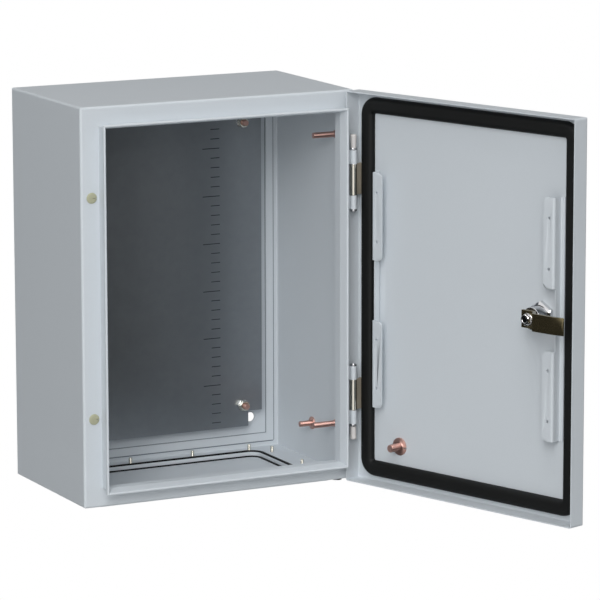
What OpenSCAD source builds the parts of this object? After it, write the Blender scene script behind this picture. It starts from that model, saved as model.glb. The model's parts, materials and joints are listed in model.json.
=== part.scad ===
// Steel wall enclosure with a hinged, gasketed door and a quarter-turn cam lock.
// Frame: X across the cabinet, -Y towards the front, +Z up.
// Origin: centre of the four wall-fixing holes, on the back plane.

/* [Cabinet] */
// Outer width of the cabinet and of the door
body_w = 300; // [280:5:400]
// Outer height of the cabinet and of the door
body_h = 400; // [380:10:600]
// Depth from the wall to the front flange, without the door
body_d = 172; // [166:2:260]
// Thickness of the painted steel sheet
sheet = 1.2; // [1:0.1:1.5]
// Outside radius of the long bends of the cabinet and the door
bend_r = 2.4; // [2:0.2:4]
// Width of the front flange round the opening
flange_w = 19.5; // [18:0.5:24]
// Width of the return flange at the back
return_w = 14; // [12:1:16]

/* [Sealing collar] */
// How far the collar stands forward of the front flange
collar_reach = 20.6; // [20:0.2:21]
// Length of its straight foot, before the sheet flares outwards
collar_foot = 9.5; // [8:0.5:12]
// How far the front edge flares outwards
collar_flare = 3.7; // [2:0.1:4.5]
// Radius of the rolled hem on the front edge
hem_r = 1.25; // [1:0.05:1.4]

/* [Back and mounting plate] */
// Distance between the wall holes, across
wall_hole_x = 232; // [200:2:240]
// Distance between the wall holes, up
wall_hole_z = 332; // [300:2:340]
// Diameter of a wall hole
wall_hole_d = 10; // [6:0.5:11]
// Width of the mounting plate
plate_w = 249; // [230:1:252]
// Height of the mounting plate
plate_h = 345; // [320:1:348]
// Thickness of the mounting plate
plate_t = 1.5; // [1:0.5:2]
// Distance from the wall to the front face of the mounting plate
plate_front = 12.5; // [10:0.5:30]
// Distance between the plate studs, across
stud_x = 205; // [190:1:210]
// Distance between the plate studs, up
stud_z = 300; // [280:2:304]
// Side of the square notch in each corner of the plate
notch = 16; // [12:1:18]

/* [Gland plate] */
// Width of the opening in the floor
gland_w = 220; // [180:2:224]
// Depth of the opening in the floor
gland_d = 116; // [90:2:118]
// Distance from the wall to the rear edge of the opening
gland_rear = 21; // [20:1:30]
// Offset of the opening towards the hinge side
gland_shift = 4; // [0:1:5]
// Corner radius of the opening
gland_r = 12; // [8:1:20]

/* [Door] */
// Depth of the door tray
door_d = 19; // [16:0.5:20]
// How far the outer face of the closed door stands forward of the front flange
door_reach = 28; // [28:0.5:29]
// Angle at which the door stands open
door_open = 109; // [0:1:119]
// Width of the foamed gasket
gasket_w = 16.3; // [12:0.1:16.4]
// Height of the foamed gasket
gasket_h = 5.8; // [5:0.1:5.8]
// Radius of the gasket's outer corners
gasket_r = 18; // [17:0.5:30]
// Distance of each stiffening rail from the side of the door
rail_inset = 30; // [29:1:40]
// Height of the rails over the door sheet
rail_h = 12; // [10:1:14]
// Pitch of the holes in the rail ears
rail_pitch = 50; // [40:5:50]

/* [Hinges] */
// Distance of the hinge axis from the side of the cabinet
hinge_inset = 7; // [6.8:0.1:7]
// Distance of the hinge axis forward of the front flange
hinge_reach = 12.5; // [12:0.1:13]
// Height of each hinge over and under the middle
hinge_z = 110.4; // [90:0.2:120]
// Outer diameter of the hinge barrels
barrel_d = 7; // [6.6:0.1:7.2]
// Diameter of the hinge pins
pin_d = 4; // [3.5:0.1:4.2]

/* [Lock] */
// Distance of the lock axis from the side of the door
lock_inset = 54; // [52:1:60]
// Length of the cam from the lock axis to its tip
cam_reach = 52; // [46:0.5:52]
// Width of the cam
cam_w = 17.5; // [16:0.5:20]
// Thickness of the cam
cam_t = 3; // [2.5:0.5:3]

/* [Hidden] */
$fn = 48;

paint = "#c3cad0";
zinc = "#8d9296";
copper = "#b8735a";
nickel = "#b7b09c";
black = "#1c1d1e";
cream = "#bebea0";

half_w = body_w / 2;
half_h = body_h / 2;
bend_in = bend_r - sheet;
door_face = body_d + door_reach;

// Back panel: a rim on the return flange, one sheet forward of the recessed field
rim_w = 7;
field_w = body_w - 2 * return_w - 0.1;
field_h = body_h - 2 * return_w - 0.1;

// Gland plate stack, from the floor downwards
floor_under = -half_h;
rim_drop = 2.6;
gland_gasket_t = 3.8;
gland_lip = 2;
gland_bead_w = 2.2;
gland_bead_h = 1.6;
gland_t = 1.2;
gland_lap = 21;
gland_mid_y = -(gland_rear + gland_d / 2);
gland_top = floor_under - gland_gasket_t;
gland_under = gland_top - gland_t;
gland_outer_w = gland_w + 2 * gland_lap;
gland_outer_d = gland_d + 30;
gland_bolt_r = 1.9;
gland_bolt_head = 1;
gland_rows = [for (x = [-98, -32, 39, 105], s = [-1, 1]) [x, s * (gland_d / 2 + 8)]];
gland_sides = [for (s = [-1, 1], y = [-22, 48]) [s * (gland_w / 2 + 13), y]];
gland_bolts = concat(gland_rows, gland_sides);

// Earth and accessory studs
stud_r = 3;
stud_base_r = 6.5;
stud_base_t = 1.6;
earth_len = 15;
earth_y = -82;
earth_z = 40 - half_h;
side_stud_len = 26;
side_stud_y = 37 - body_d;
side_stud_z = half_h - 50;

// Bonding bolt through the floor, in the front corner of the hinge side
bond_x = half_w - 8;
bond_y = 22 - body_d;
bond_end = 8;

// Plugs in the spare hinge holes of the front flange
plug_inset = 11.3;
plug_r = 3.4;

// Plate fixings
plate_back = plate_front - plate_t;
plate_stud_len = 22;
nut_af = 10;
nut_h = 5;
washer_r = 6.5;
washer_t = 1.2;

// Door
door_in = door_face - sheet;
gasket_out_w = body_w - 14.4;
gasket_out_h = body_h - 12;
door_stud_x = half_w - 58.5;
door_stud_z = 41.5 - half_h;
door_stud_r = 4;
door_stud_base_r = 9;

// Rails
rail_x = half_w - rail_inset;
rail_t = 1.5;
rail_base = 6;
rail_ear = 13.5;
rail_bend = 2.5;
rail_mid_h = 8.3;
ear_top = 120;
ear_foot = 31;
ear_r = 5;
rail_hole_r = 1.6;

// Hinges: one long barrel on the door between two short ones on the cabinet
hinge_x = half_w - hinge_inset;
hinge_y = -body_d - hinge_reach;
leaf_len = 31.4;
knuckle_len = 14;
knuckle_gap = 0.2;
bore_play = 0.05;
knuckle_start = leaf_len / 2 + knuckle_gap;
barrel_end = knuckle_start + knuckle_len;
collar_t = 2.6;
clip_t = 2;
cap_len = 13.4;

// Lock
lock_x = half_w - lock_inset;
door_hole_r = 11.25;
barrel_r = 11;
housing_len = 17;
bezel_r = 15;
bezel_t = 3;
seal_t = 1;
lock_nut_af = 27;
lock_nut_t = 5.5;
shank = 8;
core_r = 8;
hub_off = 19;
hub_end = 8;
tongue_off = 28.7;
crank_run = 7;
tip_bevel_len = 13.5;
tip_end_w = 2.6;
socket_r = 6.2;
socket_post_r = 2.2;
socket_depth = 8;
cam_bolt_r = 3;
cam_washer_r = 6.2;
cam_washer_t = 0.8;
cam_bolt_af = 10;
cam_bolt_head = 4;

// ---- helpers ----

// Rectangle with round corners, centred
module rounded_rect(w, h, r) {
    square([w - 2 * r, h], center = true);
    square([w, h - 2 * r], center = true);
    for (sx = [-1, 1], sy = [-1, 1])
        translate([sx * (w / 2 - r), sy * (h / 2 - r)]) circle(r);
}

// Extrude a drawing of the X-Z plane forwards from the depth y
module forward(y, t) {
    translate([0, y, 0]) rotate([90, 0, 0]) linear_extrude(t) children();
}

// Extrude a drawing of the X-Y plane upwards from the height z
module upward(z, t) {
    translate([0, 0, z]) linear_extrude(t) children();
}

// Carry a profile round a rectangle w by h with mitred corners.
// The profile's x is the distance inwards from the rectangle, its y the depth.
module mitred_frame(w, h, reach) {
    for (turn = [0:1:3]) {
        across = turn % 2 == 0 ? w : h;
        along = turn % 2 == 0 ? h : w;
        rotate([0, 90 * turn, 0]) intersection() {
            translate([across / 2, 0, -along / 2 - reach]) mirror([1, 0, 0])
                linear_extrude(along + 2 * reach) children();
            forward(0, door_face + reach) polygon([
                [across / 2 + reach, along / 2 + reach], [across / 2 + reach, -along / 2 - reach],
                [across / 2 - reach, -along / 2 + reach], [across / 2 - reach, along / 2 - reach]]);
        }
    }
}

// Bar along Y, from the depth y forwards
module forward_bar(y, len, r) {
    translate([0, y, 0]) rotate([90, 0, 0]) cylinder(h = len, r = r);
}

// Put door parts, drawn with the door shut, where the door stands
module opened() {
    translate([hinge_x, hinge_y, 0]) rotate([0, 0, door_open])
        translate([-hinge_x, -hinge_y, 0]) children();
}

// Put lock parts, drawn round the origin, on the lock axis of the open door
module at_lock() {
    opened() translate([-lock_x, 0, 0]) children();
}

module at_corners(dx, dz) {
    for (sx = [-1, 1], sz = [-1, 1]) translate([sx * dx / 2, 0, sz * dz / 2]) children();
}

// Welded stud along +Z: flange, shank and a chamfered end
module weld_stud(r, len, base_r) {
    cylinder(h = stud_base_t, r = base_r);
    cylinder(h = len - 0.6, r = r);
    translate([0, 0, len - 0.6]) cylinder(h = 0.6, r1 = r, r2 = r - 0.6);
}

// ---- cabinet ----

// Quarter ring of bent sheet; sx and sy point from its centre to the corner it rounds
module bend(x, y, sx, sy, outer, inner) {
    translate([x, y]) intersection() {
        difference() {
            circle(outer);
            circle(inner);
        }
        scale([sx, sy]) square(outer);
    }
}

// Straight foot, flared lip and rolled hem of the sealing collar
module collar_profile() {
    foot_end = -body_d - collar_foot;
    hem_y = -body_d - collar_reach + hem_r;
    hem_x = flange_w - collar_flare + hem_r;
    polygon([[flange_w, -body_d], [flange_w, foot_end], [hem_x - hem_r, hem_y],
        [hem_x + hem_r - 1, hem_y], [hem_x + hem_r, hem_y + 1.2],
        [flange_w + sheet, foot_end - 0.3], [flange_w + sheet, -body_d + sheet],
        [flange_w - 1, -body_d + sheet], [flange_w - 1, -body_d]]);
    translate([hem_x, hem_y]) circle(hem_r, $fn = 24);
}

// Section of the whole wrap: return flange, side wall, front flange and collar
module wrap_profile() {
    translate([bend_r, -sheet]) square([return_w - bend_r, sheet]);
    bend(bend_r, -bend_r, -1, 1, bend_r, bend_in);
    translate([0, -body_d + bend_r]) square([sheet, body_d - 2 * bend_r]);
    bend(bend_r, -body_d + bend_r, -1, -1, bend_r, bend_in);
    translate([bend_r, -body_d]) square([flange_w - bend_r, sheet]);
    collar_profile();
}

module gland_place() {
    translate([gland_shift, gland_mid_y, 0]) children();
}

// Stand at the underside of the floor, on the axis of the bonding bolt
module at_bond() {
    translate([bond_x, bond_y, floor_under]) children();
}

module cabinet_wrap() color(paint) difference() {
    union() {
        intersection() {
            mitred_frame(body_w, body_h, flange_w + 5) wrap_profile();
            forward(1, door_face) rounded_rect(body_w, body_h, bend_r);
        }
        gland_place() upward(floor_under - rim_drop, rim_drop + sheet)
            rounded_rect(gland_w + 2 * sheet, gland_d + 2 * sheet, gland_r + sheet);
    }
    gland_place() upward(floor_under - rim_drop - 1, rim_drop + sheet + 2)
        rounded_rect(gland_w, gland_d, gland_r);
    gland_place() for (p = gland_bolts)
        translate([p[0], p[1], floor_under - 1]) cylinder(h = sheet + 2, r = gland_bolt_r);
    at_bond() translate([0, 0, -1]) cylinder(h = sheet + 2, r = stud_r + 0.2);
    for (sz = [-1, 1]) translate([-half_w + plug_inset, 0, sz * hinge_z])
        forward_bar(-body_d + sheet + 1, sheet + 2, plug_r + 0.1);
}

// Rim on the return flange, and a field set back to the wall plane
module back_panel() color(paint) difference() {
    union() {
        forward(0, sheet) square([field_w, field_h], center = true);
        forward(-sheet, sheet) difference() {
            square([field_w + 2 * rim_w, field_h + 2 * rim_w], center = true);
            square([field_w - 2 * sheet, field_h - 2 * sheet], center = true);
        }
    }
    at_corners(wall_hole_x, wall_hole_z) forward_bar(1, sheet + 2, wall_hole_d / 2);
}

module mounting_plate() color(zinc) difference() {
    forward(-plate_back, plate_t) square([plate_w, plate_h], center = true);
    at_corners(plate_w, plate_h) forward(-plate_back + 1, plate_t + 2)
        square(2 * notch, center = true);
    at_corners(stud_x, stud_z) forward_bar(-plate_back + 1, plate_t + 2, stud_r + 0.3);
}

module plate_studs() color(copper) at_corners(stud_x, stud_z)
    translate([0, -sheet, 0]) rotate([90, 0, 0]) weld_stud(stud_r, plate_stud_len, stud_base_r);

module plate_spacers() color(zinc) at_corners(stud_x, stud_z) difference() {
    forward_bar(-sheet - stud_base_t, plate_back - sheet - stud_base_t, 5);
    forward_bar(0, plate_front, stud_r + 0.05);
}

module plate_washers() color(zinc) at_corners(stud_x, stud_z) difference() {
    forward_bar(-plate_front, washer_t, washer_r);
    forward_bar(0, plate_front + 5, stud_r + 0.2);
}

// Hexagon with chamfered corners at its outer end
module hex_head(af, h) intersection() {
    cylinder(h = h, d = af / cos(30), $fn = 6);
    union() {
        cylinder(h = h - 0.8, d = af / cos(30) + 0.1);
        translate([0, 0, h - 0.8]) cylinder(h = 0.8, d1 = af / cos(30) + 0.1, d2 = af);
    }
}

module nut(af, h, bore_r) difference() {
    hex_head(af, h);
    translate([0, 0, -1]) cylinder(h = h + 2, r = bore_r);
}

module plate_nuts() color(nickel) at_corners(stud_x, stud_z)
    translate([0, -plate_front - washer_t, 0]) rotate([90, 0, 0]) nut(nut_af, nut_h, stud_r + 0.05);

module gland_plate() color(paint) gland_place() difference() {
    upward(gland_under, gland_t) rounded_rect(gland_outer_w, gland_outer_d, 6);
    for (p = gland_bolts)
        translate([p[0], p[1], gland_under - 1]) cylinder(h = gland_t + 2, r = gland_bolt_r);
}

// Gasket under the floor, with a lip that shows inside the drawn rim, and the bead on top of the rim
module gland_gasket() color(black) gland_place() {
    difference() {
        upward(gland_top, gland_gasket_t) rounded_rect(gland_outer_w - 2, gland_outer_d - 2, 5);
        upward(floor_under - rim_drop, gland_gasket_t)
            rounded_rect(gland_w + 2 * sheet, gland_d + 2 * sheet, gland_r + sheet);
        upward(gland_top - 1, gland_gasket_t)
            rounded_rect(gland_w - 2 * gland_lip, gland_d - 2 * gland_lip, gland_r - gland_lip);
        for (p = gland_bolts) translate([p[0], p[1], gland_top - 1])
            cylinder(h = gland_gasket_t + 2, r = gland_bolt_r);
    }
    upward(floor_under + sheet, gland_bead_h) difference() {
        rounded_rect(gland_w + 2 * gland_bead_w, gland_d + 2 * gland_bead_w, gland_r + gland_bead_w);
        rounded_rect(gland_w, gland_d, gland_r);
    }
}

// Screws with low heads below and rounded ends above the floor
module gland_screws() color(zinc) gland_place() for (p = gland_bolts)
    translate([p[0], p[1], gland_under]) {
        grip = gland_t + gland_gasket_t + sheet;
        cylinder(h = grip + 5, r = gland_bolt_r - 0.1);
        translate([0, 0, grip + 5]) cylinder(h = 1.2, r1 = gland_bolt_r - 0.1, r2 = gland_bolt_r - 0.9);
        translate([0, 0, -gland_bolt_head])
            cylinder(h = gland_bolt_head, r1 = 2 * gland_bolt_r - 0.8, r2 = 2 * gland_bolt_r);
    }

module bond_bolt() color(zinc) at_bond() {
    translate([0, 0, -washer_t]) mirror([0, 0, 1]) hex_head(nut_af, 4);
    translate([0, 0, -washer_t]) cylinder(h = washer_t + bond_end, r = stud_r);
}

module bond_washer() color(zinc) at_bond() translate([0, 0, -washer_t]) difference() {
    cylinder(h = washer_t, r = 5.8);
    translate([0, 0, -1]) cylinder(h = washer_t + 2, r = stud_r + 0.2);
}

module bond_nut() color(zinc) at_bond() translate([0, 0, sheet]) nut(nut_af, nut_h, stud_r + 0.05);

module cabinet_earth_stud() color(copper) translate([half_w - sheet, earth_y, earth_z])
    rotate([0, -90, 0]) weld_stud(stud_r, earth_len, stud_base_r);

module side_studs() color(copper) for (sz = [-1, 1])
    translate([half_w - sheet, side_stud_y, sz * side_stud_z])
        rotate([0, -90, 0]) weld_stud(stud_r, side_stud_len, stud_r + 1);

module hole_plugs() color(cream) for (sz = [-1, 1])
    translate([-half_w + plug_inset, -body_d, sz * hinge_z]) rotate([90, 0, 0]) {
        translate([0, 0, -sheet - 4]) cylinder(h = sheet + 4, r = plug_r);
        cylinder(h = 0.8, r = 5.4);
        translate([0, 0, 0.8]) cylinder(h = 0.7, r1 = 5.4, r2 = 4.4);
    }

// ---- hinges; side is 1 for the upper hinge and -1 for the lower ----

module at_hinge(side) {
    translate([hinge_x, hinge_y, side * hinge_z]) scale([1, 1, side]) children();
}

module pin_bore() {
    translate([0, 0, -barrel_end - 5]) cylinder(h = 2 * barrel_end + 10, r = pin_d / 2 + bore_play);
}

// Two short barrels on a plate that is welded to the collar foot
module hinge_knuckles(side) color(paint) translate([hinge_x, hinge_y, side * hinge_z]) difference() {
    union() for (sz = [-1, 1]) translate([0, 0, sz * (knuckle_start + knuckle_len / 2)]) {
        cylinder(h = knuckle_len, d = barrel_d, center = true);
        translate([0, 0, -knuckle_len / 2]) linear_extrude(knuckle_len) knuckle_web();
    }
    pin_bore();
}

// Web from the barrel to the collar foot, drawn round the hinge axis
module knuckle_web() {
    foot_x = half_w - flange_w - hinge_x;
    low = 0.4;
    t = 1.5;
    polygon([[0, low + t], [foot_x + t, low + t], [foot_x + t, 10], [foot_x, 10],
        [foot_x, 3.3], [foot_x + 1.4, low], [0, low]]);
}

// Long barrel with a leaf that stands on the door sheet beside the gasket
module hinge_leaf(side) color(nickel) opened() translate([hinge_x, hinge_y, side * hinge_z])
    difference() {
        union() {
            cylinder(h = leaf_len, d = barrel_d, center = true);
            translate([0, 0, -leaf_len / 2]) linear_extrude(leaf_len) leaf_profile();
        }
        pin_bore();
    }

// Leaf from the barrel down to the door sheet, with a welded foot
module leaf_profile() {
    foot = body_d + hinge_reach - door_in;
    foot_len = half_w - sheet - bend_in - hinge_x - 0.4;
    t = 1.5;
    polygon([[0, 1 - barrel_d / 2], [t, 1 - barrel_d / 2], [t, foot + t], [foot_len, foot + t],
        [foot_len, foot], [0, foot]]);
}

// Pin with a collar at its outer end, drawn with that end up
module hinge_pin(side) color(nickel) at_hinge(side) {
    translate([0, 0, -barrel_end - clip_t - 0.6])
        cylinder(h = 2 * barrel_end + clip_t + 0.6, r = pin_d / 2);
    translate([0, 0, barrel_end]) cylinder(h = collar_t, d = barrel_d - 0.6);
    translate([0, 0, barrel_end + collar_t]) cylinder(h = 8, r = pin_d / 2 - 0.5);
}

module pin_cap(side) color("#c9c6c4") at_hinge(side) translate([0, 0, barrel_end + collar_t])
    difference() {
        union() {
            cylinder(h = cap_len - 1, d1 = barrel_d - 1.6, d2 = barrel_d - 0.4);
            translate([0, 0, cap_len - 1]) cylinder(h = 1, d1 = barrel_d - 0.4, d2 = barrel_d - 1.6);
        }
        translate([0, 0, -1]) cylinder(h = 9, r = pin_d / 2 - 0.5);
    }

module pin_clips() color(nickel) for (side = [-1, 1]) at_hinge(side)
    translate([0, 0, -barrel_end - clip_t]) difference() {
        cylinder(h = clip_t, d = barrel_d - 0.4);
        translate([0, 0, -1]) cylinder(h = clip_t + 2, r = pin_d / 2);
    }

// ---- door ----

// Section of the door edge: bend and side flange
module door_edge_profile() {
    bend(bend_r, -door_face + bend_r, -1, -1, bend_r, bend_in);
    translate([0, -door_face + bend_r]) square([sheet, door_d - bend_r]);
    translate([bend_r, -door_face]) square([2, sheet]);
}

module door_tray() color(paint) opened() difference() {
    intersection() {
        union() {
            forward(-door_in, sheet) square([body_w - 2 * bend_r, body_h - 2 * bend_r], center = true);
            mitred_frame(body_w, body_h, bend_r + 5) door_edge_profile();
        }
        forward(0, door_face + 1) rounded_rect(body_w, body_h, bend_r);
    }
    translate([-lock_x, 0, 0]) forward_bar(-door_in + 1, sheet + 2, door_hole_r);
}

// Section of the gasket from its outer edge inwards: a flat dome with steep sides
function dome(u) = gasket_h * sqrt(1 - pow(abs(u), 4));
gasket_section = [for (a = [0:15:180]) [gasket_w * (1 - cos(a)) / 2, dome(cos(a))]];

module door_gasket() color(black) opened() for (turn = [0:1:3]) {
    across = turn % 2 == 0 ? gasket_out_w : gasket_out_h;
    along = turn % 2 == 0 ? gasket_out_h : gasket_out_w;
    rotate([0, 90 * turn, 0]) {
        translate([across / 2, -door_in, -along / 2 + gasket_r]) mirror([1, 0, 0])
            linear_extrude(along - 2 * gasket_r) polygon(gasket_section);
        translate([across / 2 - gasket_r, -door_in, -along / 2 + gasket_r]) rotate([-90, 0, 0])
            rotate_extrude(angle = 90) polygon([for (p = gasket_section) [gasket_r - p[0], p[1]]]);
    }
}

// Section of a rail, drawn round the foot of its web: base outwards, ear inwards
module rail_section(h, ear) {
    bend_in = rail_bend - rail_t;
    web_top = ear ? h - rail_bend : h;
    translate([rail_bend, 0]) square([rail_base - rail_bend, rail_t]);
    bend(rail_bend, rail_bend, -1, -1, rail_bend, bend_in);
    translate([0, rail_bend]) square([rail_t, web_top - rail_bend]);
    if (ear) {
        bend(rail_t - rail_bend, web_top, 1, 1, rail_bend, bend_in);
        translate([rail_t - rail_ear, h - rail_t]) square([rail_ear - rail_bend, rail_t]);
    }
}

// Stiffening rail of the hinge side, drawn with the door shut
module rail() difference() {
    translate([rail_x - rail_t, -door_in, -ear_top]) {
        linear_extrude(2 * ear_top) rail_section(rail_mid_h, false);
        for (z0 = [0, ear_top + ear_foot]) translate([0, 0, z0])
            linear_extrude(ear_top - ear_foot) rail_section(rail_h, true);
    }
    for (sz = [-1, 1], end = [ear_foot, ear_top]) ear_corner(sz, end);
    for (z = [1, 2], sz = [-1, 1]) translate([rail_x - 6.5, 0, sz * z * rail_pitch])
        forward_bar(-door_in + rail_h + 2, rail_t + 4, rail_hole_r);
}

// Waste outside the round corner of an ear
module ear_corner(sz, end) {
    dir = end == ear_top ? 1 : -1;
    inner_x = rail_x - rail_ear;
    translate([inner_x, -door_in + rail_h + 1, sz * end]) rotate([90, 0, 0])
        linear_extrude(rail_t + 2) difference() {
            square([2 * ear_r, 2 * ear_r], center = true);
            translate([ear_r, -sz * dir * ear_r]) circle(ear_r);
        }
}

module hinge_side_rail() color(paint) opened() rail();

module lock_side_rail() color(paint) opened() mirror([1, 0, 0]) rail();

module door_earth_stud() color(copper) opened() translate([door_stud_x, -door_in, door_stud_z])
    rotate([-90, 0, 0]) weld_stud(door_stud_r, earth_len, door_stud_base_r);

// ---- lock, drawn round its axis; distances inwards are from the inner face of the door ----

module inward_bar(from, len, r) {
    translate([0, -door_in + from, 0]) rotate([-90, 0, 0]) cylinder(h = len, r = r);
}

module lock_housing() color("silver") at_lock() difference() {
    union() {
        inward_bar(-sheet - seal_t, sheet + seal_t + housing_len, barrel_r);
        translate([0, -door_face - seal_t, 0]) rotate([90, 0, 0]) {
            cylinder(h = bezel_t - 1, r = bezel_r);
            translate([0, 0, bezel_t - 1]) cylinder(h = 1, r1 = bezel_r, r2 = bezel_r - 1);
        }
    }
    inward_bar(-20, 60, core_r + 0.1);
}

module lock_seal() color(black) at_lock() difference() {
    inward_bar(-sheet - seal_t, seal_t, bezel_r - 1);
    inward_bar(-20, 60, barrel_r + 0.05);
}

module lock_nut() color("silver") at_lock() translate([0, -door_in, 0]) rotate([-90, 0, 0])
    rotate([0, 0, 30]) nut(lock_nut_af, lock_nut_t, barrel_r + 0.05);

// Core: blind double-bit socket outside, square shank for the cam inside
module lock_core() color("#6f7072") at_lock() {
    face = -sheet - seal_t - bezel_t + 0.6;
    shank_from = housing_len - 1.5;
    shank_len = hub_off + cam_t - 0.2 - shank_from;
    difference() {
        union() {
            inward_bar(face, housing_len - face - 0.1, core_r);
            translate([0, -door_in + shank_from + shank_len / 2, 0])
                cube([shank, shank_len, shank], center = true);
        }
        inward_bar(face - 1, socket_depth + 1, socket_r);
        inward_bar(housing_len - 4, 30, cam_bolt_r + bore_play);
    }
    inward_bar(face + 1, socket_depth, socket_post_r);
}

// Waste over one corner of the tongue's tip, above a plane that slopes towards the door
module tip_waste(sz) {
    rise = (cam_w - tip_end_w) / 2;
    slope = 0.35;
    scale([1, 1, sz]) translate([-cam_reach, tongue_off + cam_t, tip_end_w / 2])
        rotate([0, -atan2(rise, tip_bevel_len), 0]) translate([-10, 0, 0])
            rotate([90, 0, 90]) linear_extrude(30)
                polygon([[0, 0], [-12 * slope, 12], [2, 12], [2, 0]]);
}

// Cranked cam: hub on the shank, crank away from the door, tongue with a bevelled tip
module lock_cam() color("#7d7258") at_lock() translate([0, -door_in, 0]) difference() {
    translate([0, 0, -cam_w / 2]) linear_extrude(cam_w) polygon([
        [hub_end, hub_off], [hub_end, hub_off + cam_t], [-hub_end + 1.2, hub_off + cam_t],
        [-hub_end - crank_run + 1.2, tongue_off + cam_t], [-cam_reach, tongue_off + cam_t],
        [-cam_reach, tongue_off], [-hub_end - crank_run, tongue_off], [-hub_end, hub_off]]);
    translate([0, hub_off + cam_t / 2, 0]) cube([shank + 0.1, cam_t + 1, shank + 0.1], center = true);
    tip_waste(1);
    tip_waste(-1);
}

module cam_washer() color("silver") at_lock() difference() {
    inward_bar(hub_off + cam_t, cam_washer_t, cam_washer_r);
    inward_bar(0, 60, cam_bolt_r + bore_play);
}

module cam_bolt() color("silver") at_lock() {
    head_from = hub_off + cam_t + cam_washer_t;
    translate([0, -door_in + head_from, 0]) rotate([-90, 0, 0]) hex_head(cam_bolt_af, cam_bolt_head);
    inward_bar(housing_len - 3.5, head_from - housing_len + 4, cam_bolt_r);
}

cabinet_wrap();
back_panel();
mounting_plate();
plate_studs();
plate_spacers();
plate_washers();
plate_nuts();
gland_plate();
gland_gasket();
gland_screws();
bond_bolt();
bond_washer();
bond_nut();
cabinet_earth_stud();
side_studs();
hole_plugs();
hinge_knuckles(1);  // upper_hinge_knuckles
hinge_knuckles(-1);  // lower_hinge_knuckles
hinge_pin(1);  // upper_hinge_pin
hinge_pin(-1);  // lower_hinge_pin
pin_cap(1);  // upper_pin_cap
pin_cap(-1);  // lower_pin_cap
pin_clips();
door_tray();
door_gasket();
hinge_side_rail();
lock_side_rail();
door_earth_stud();
hinge_leaf(1);  // upper_hinge_leaf
hinge_leaf(-1);  // lower_hinge_leaf
lock_housing();
lock_seal();
lock_nut();
lock_core();
lock_cam();
cam_washer();
cam_bolt();
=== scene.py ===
"""Looks of a steel wall enclosure that stands with its door open.

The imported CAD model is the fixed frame. This script gives each carried-over node the finish of
the real piece, and replaces the small turned, pressed and foamed pieces with finer surfaces.
Every new surface is a function of two parameters on a grid, worked out with numpy in millimetres
and placed in the frame in metres.
"""

import json
import logging
import math
from dataclasses import dataclass, field
from enum import Enum
from typing import Any, Optional, Sequence

import bmesh
import bpy
import numpy as np
from mathutils import Matrix, Vector


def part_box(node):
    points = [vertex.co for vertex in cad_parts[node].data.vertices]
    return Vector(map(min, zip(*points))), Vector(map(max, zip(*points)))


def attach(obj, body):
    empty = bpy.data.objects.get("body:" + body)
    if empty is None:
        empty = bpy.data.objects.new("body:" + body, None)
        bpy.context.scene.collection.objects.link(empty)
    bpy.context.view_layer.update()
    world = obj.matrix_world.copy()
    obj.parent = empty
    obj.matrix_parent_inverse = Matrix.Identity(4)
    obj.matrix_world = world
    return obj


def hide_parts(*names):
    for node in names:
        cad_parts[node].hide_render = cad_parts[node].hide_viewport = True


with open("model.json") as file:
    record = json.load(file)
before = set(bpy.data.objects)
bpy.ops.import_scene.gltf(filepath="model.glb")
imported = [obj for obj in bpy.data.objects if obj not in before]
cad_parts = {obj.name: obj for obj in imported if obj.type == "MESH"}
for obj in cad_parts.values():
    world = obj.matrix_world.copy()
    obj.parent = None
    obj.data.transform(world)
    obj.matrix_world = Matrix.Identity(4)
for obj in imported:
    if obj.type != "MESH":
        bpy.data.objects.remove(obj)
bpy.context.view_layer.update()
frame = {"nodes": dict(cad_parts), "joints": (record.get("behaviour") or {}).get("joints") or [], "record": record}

LOG = logging.getLogger("enclosure")
MM = 0.001
TAU = 2.0 * math.pi


# ---------------------------------------------------------------- placing


class Body(Enum):
    """The rigid bodies that a piece can ride on."""

    CABINET = "cabinet"
    DOOR = "door"
    LOCK = "lock"


def joint(name: str) -> dict[str, Any]:
    """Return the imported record's joint of that name.

    Args:
        name: the joint's name in the record.

    Returns:
        The joint's entry, with its pos_m, axis and range.
    """
    return next(j for j in frame["joints"] if j["name"] == name)


def mount(name: str) -> dict[str, Any]:
    """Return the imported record's mount of that name.

    Args:
        name: the mount's name in the record.

    Returns:
        The mount's entry, with its pos_m, axis and dims.
    """
    return next(m for m in frame["record"]["mounts"] if m["name"] == name)


def cabinet_place() -> Matrix:
    """Return the matrix from cabinet millimetres to the frame."""
    return Matrix.Scale(MM, 4)


def door_place() -> Matrix:
    """Return the matrix from the shut door's millimetres to where the door stands.

    The door's joint is 0 as it stands and at its lower limit when shut, so the door turns
    about the hinge axis by the lower limit's opposite.
    """
    hinge = joint("door_hinge")
    pivot = Vector(hinge["pos_m"])
    turn = Matrix.Rotation(math.radians(-hinge["range_deg"][0]), 4, Vector(hinge["axis"]))
    return Matrix.Translation(pivot) @ turn @ Matrix.Translation(-pivot) @ Matrix.Scale(MM, 4)


def shut_point(point: Sequence[float]) -> Vector:
    """Turn a point of the standing door back to where it is with the door shut.

    Args:
        point: a point in the frame, in metres.

    Returns:
        The same point of the shut door, in millimetres.
    """
    return door_place().inverted() @ Vector(point)


def along(place: Matrix, origin: Sequence[float], axis: Sequence[float], turn: float = 0.0) -> Matrix:
    """Return a matrix for a turned piece that is drawn round its own Z axis.

    Args:
        place: the matrix of the body that the piece is on.
        origin: where the piece's own origin goes, in that body's millimetres.
        axis: the direction of the piece's own Z axis.
        turn: angle in degrees by which the piece is turned about that axis.

    Returns:
        The matrix from the piece's millimetres to the frame.
    """
    aim = Vector(axis).to_track_quat("Z", "Y").to_matrix().to_4x4()
    spin = Matrix.Rotation(math.radians(turn), 4, "Z")
    return place @ Matrix.Translation(Vector(origin)) @ aim @ spin


# ---------------------------------------------------------------- surfaces


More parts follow.
